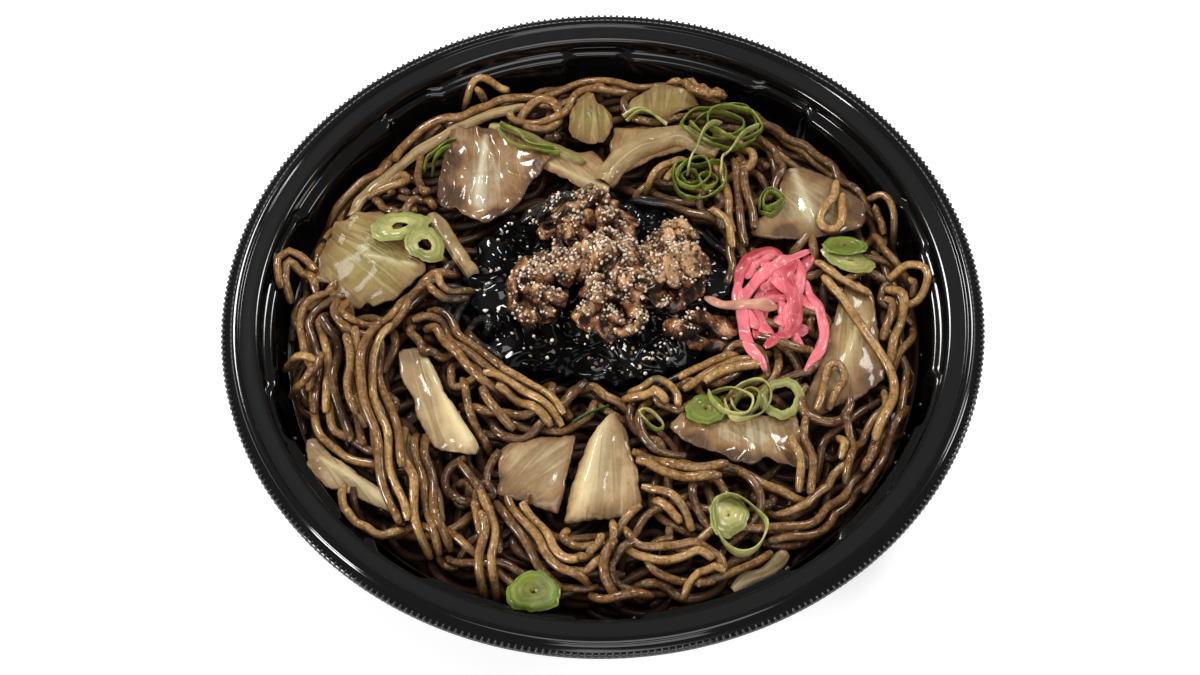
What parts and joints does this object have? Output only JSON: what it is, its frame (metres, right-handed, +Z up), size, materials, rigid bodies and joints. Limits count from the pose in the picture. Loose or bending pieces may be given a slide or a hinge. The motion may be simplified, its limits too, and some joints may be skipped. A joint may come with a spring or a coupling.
{
  "type": "yakisoba noodle bowl",
  "caption": "Round black plastic bowl filled with brown fried noodles, topped with pork in black sauce, cabbage, spring onion and pink pickled ginger.",
  "frame": {"origin": "bottom centre of the bowl's foot ring, on the surface it stands on", "axes": "+Z up out of the bowl, +X right and +Y away from the viewer in the serving's usual view"},
  "size_m": [0.1996, 0.2, 0.0506],
  "materials": {
    "bowl": "near-black moulded plastic, satin gloss with a greyer matte lid channel",
    "noodle": "fried wheat noodles brown with sauce, moist and glossy",
    "sauce": "thick black sauce, wet gloss",
    "pork": "cooked brown meat with pale seasoning grains",
    "cabbage": "cooked beige cabbage leaf, moist",
    "cabbage_green": "cooked yellow-green cabbage leaf, moist",
    "cabbage_stem": "cream cabbage stem, moist",
    "onion": "cut green spring onion, moist",
    "onion_pale": "cut pale green spring onion, moist",
    "onion_dark": "dark green leaf scrap, moist",
    "ginger": "pink pickled ginger shreds, moist"
  },
  "bodies": {
    "root": {"bowl": "bowl", "black_sauce": "sauce", "pork_1": "pork", "pork_2": "pork", "pork_3": "pork", "pork_4": "pork", "pork_5": "pork", "pork_6": "pork", "cabbage_leaf_1": "cabbage_green", "cabbage_leaf_2": "cabbage", "cabbage_leaf_3": "cabbage_green", "cabbage_leaf_4": "cabbage", "cabbage_leaf_5": "cabbage", "cabbage_leaf_6": "cabbage", "cabbage_leaf_7": "cabbage", "cabbage_leaf_8": "cabbage_stem", "cabbage_leaf_9": "cabbage", "cabbage_shred_1": "cabbage", "cabbage_shred_2": "cabbage", "cabbage_shred_3": "cabbage", "cabbage_shred_4": "cabbage", "cabbage_shred_5": "cabbage", "cabbage_shred_6": "cabbage", "cabbage_shred_7": "cabbage", "ginger": "ginger", "onion_ring_1": "onion_pale", "onion_ring_2": "onion_pale", "onion_ring_3": "onion", "onion_ring_4": "onion", "onion_ring_5": "onion", "onion_ring_6": "onion_pale", "onion_ring_7": "onion", "onion_ring_8": "onion", "onion_ring_9": "onion", "onion_ring_10": "onion_pale", "onion_ring_11": "onion_pale", "onion_ring_12": "onion_pale", "onion_ring_13": "onion", "onion_sliver_1": "onion", "onion_sliver_2": "onion", "onion_sliver_3": "onion", "onion_sliver_4": "onion_dark", "noodles": "noodle"}
  },
  "joints": []
}
